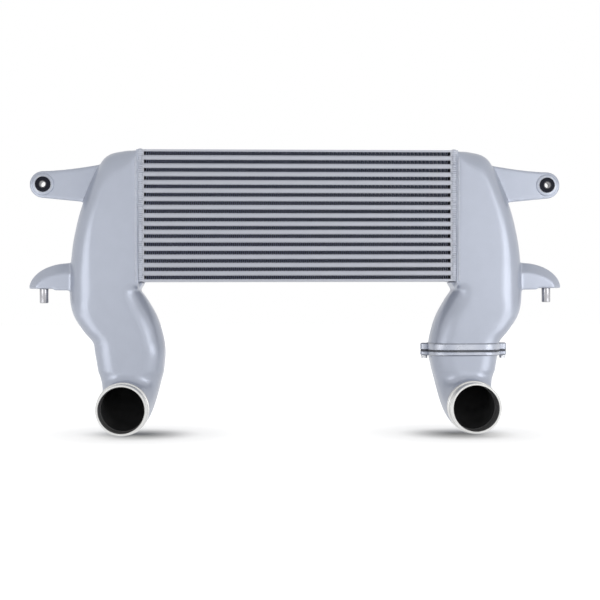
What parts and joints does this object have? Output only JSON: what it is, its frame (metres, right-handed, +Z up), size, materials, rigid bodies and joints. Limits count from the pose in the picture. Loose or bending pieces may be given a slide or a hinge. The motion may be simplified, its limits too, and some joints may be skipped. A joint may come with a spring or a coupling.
{
  "type": "intercooler",
  "caption": "Air to air intercooler: bar and plate core between cast end tanks with mounting ears, pinned lower brackets and round hose spigots facing forward.",
  "frame": {"origin": "midway between the two upper mounting holes, on their common line at the middle of the core's depth", "axes": "+X to the right seen from the front, along the core; -Y to the front, the way the outlets face; +Z up"},
  "size_m": [0.974, 0.1555, 0.5105],
  "materials": {
    "core_aluminium": "satin silver paint over brazed plate",
    "dark_fin": "matt black",
    "charge_fin": "bare rolled",
    "silver_casting": "satin silver paint over a cast surface, machined bare at the hose spigot",
    "weld_metal": "rippled weld under satin silver paint",
    "gasket": "matt",
    "rubber": "matt moulded",
    "plated_steel": "zinc plated",
    "polished_pin": "ground bright"
  },
  "bodies": {
    "root": {"top_side_plate": "core_aluminium", "bottom_side_plate": "core_aluminium", "ambient_fin_01": "dark_fin", "ambient_fin_02": "dark_fin", "ambient_fin_03": "dark_fin", "ambient_fin_04": "dark_fin", "ambient_fin_05": "dark_fin", "ambient_fin_06": "dark_fin", "ambient_fin_07": "dark_fin", "ambient_fin_08": "dark_fin", "ambient_fin_09": "dark_fin", "ambient_fin_10": "dark_fin", "ambient_fin_11": "dark_fin", "ambient_fin_12": "dark_fin", "ambient_fin_13": "dark_fin", "ambient_fin_14": "dark_fin", "ambient_fin_15": "dark_fin", "ambient_fin_16": "dark_fin", "charge_fin_01": "charge_fin", "charge_fin_02": "charge_fin", "charge_fin_03": "charge_fin", "charge_fin_04": "charge_fin", "charge_fin_05": "charge_fin", "charge_fin_06": "charge_fin", "charge_fin_07": "charge_fin", "charge_fin_08": "charge_fin", "charge_fin_09": "charge_fin", "charge_fin_10": "charge_fin", "charge_fin_11": "charge_fin", "charge_fin_12": "charge_fin", "charge_fin_13": "charge_fin", "charge_fin_14": "charge_fin", "charge_fin_15": "charge_fin", "parting_sheets": "core_aluminium", "front_closing_bars": "core_aluminium", "rear_closing_bars": "core_aluminium", "left_header_bars": "core_aluminium", "right_header_bars": "core_aluminium", "left_end_tank": "silver_casting", "right_end_tank": "silver_casting", "outlet_elbow": "silver_casting", "flange_gasket": "gasket", "flange_bolts": "plated_steel", "flange_washers": "plated_steel", "left_weld_bead": "weld_metal", "right_weld_bead": "weld_metal", "left_grommet": "rubber", "right_grommet": "rubber", "left_mount_sleeve": "plated_steel", "right_mount_sleeve": "plated_steel", "left_locating_pin": "polished_pin", "right_locating_pin": "polished_pin"}
  },
  "joints": []
}
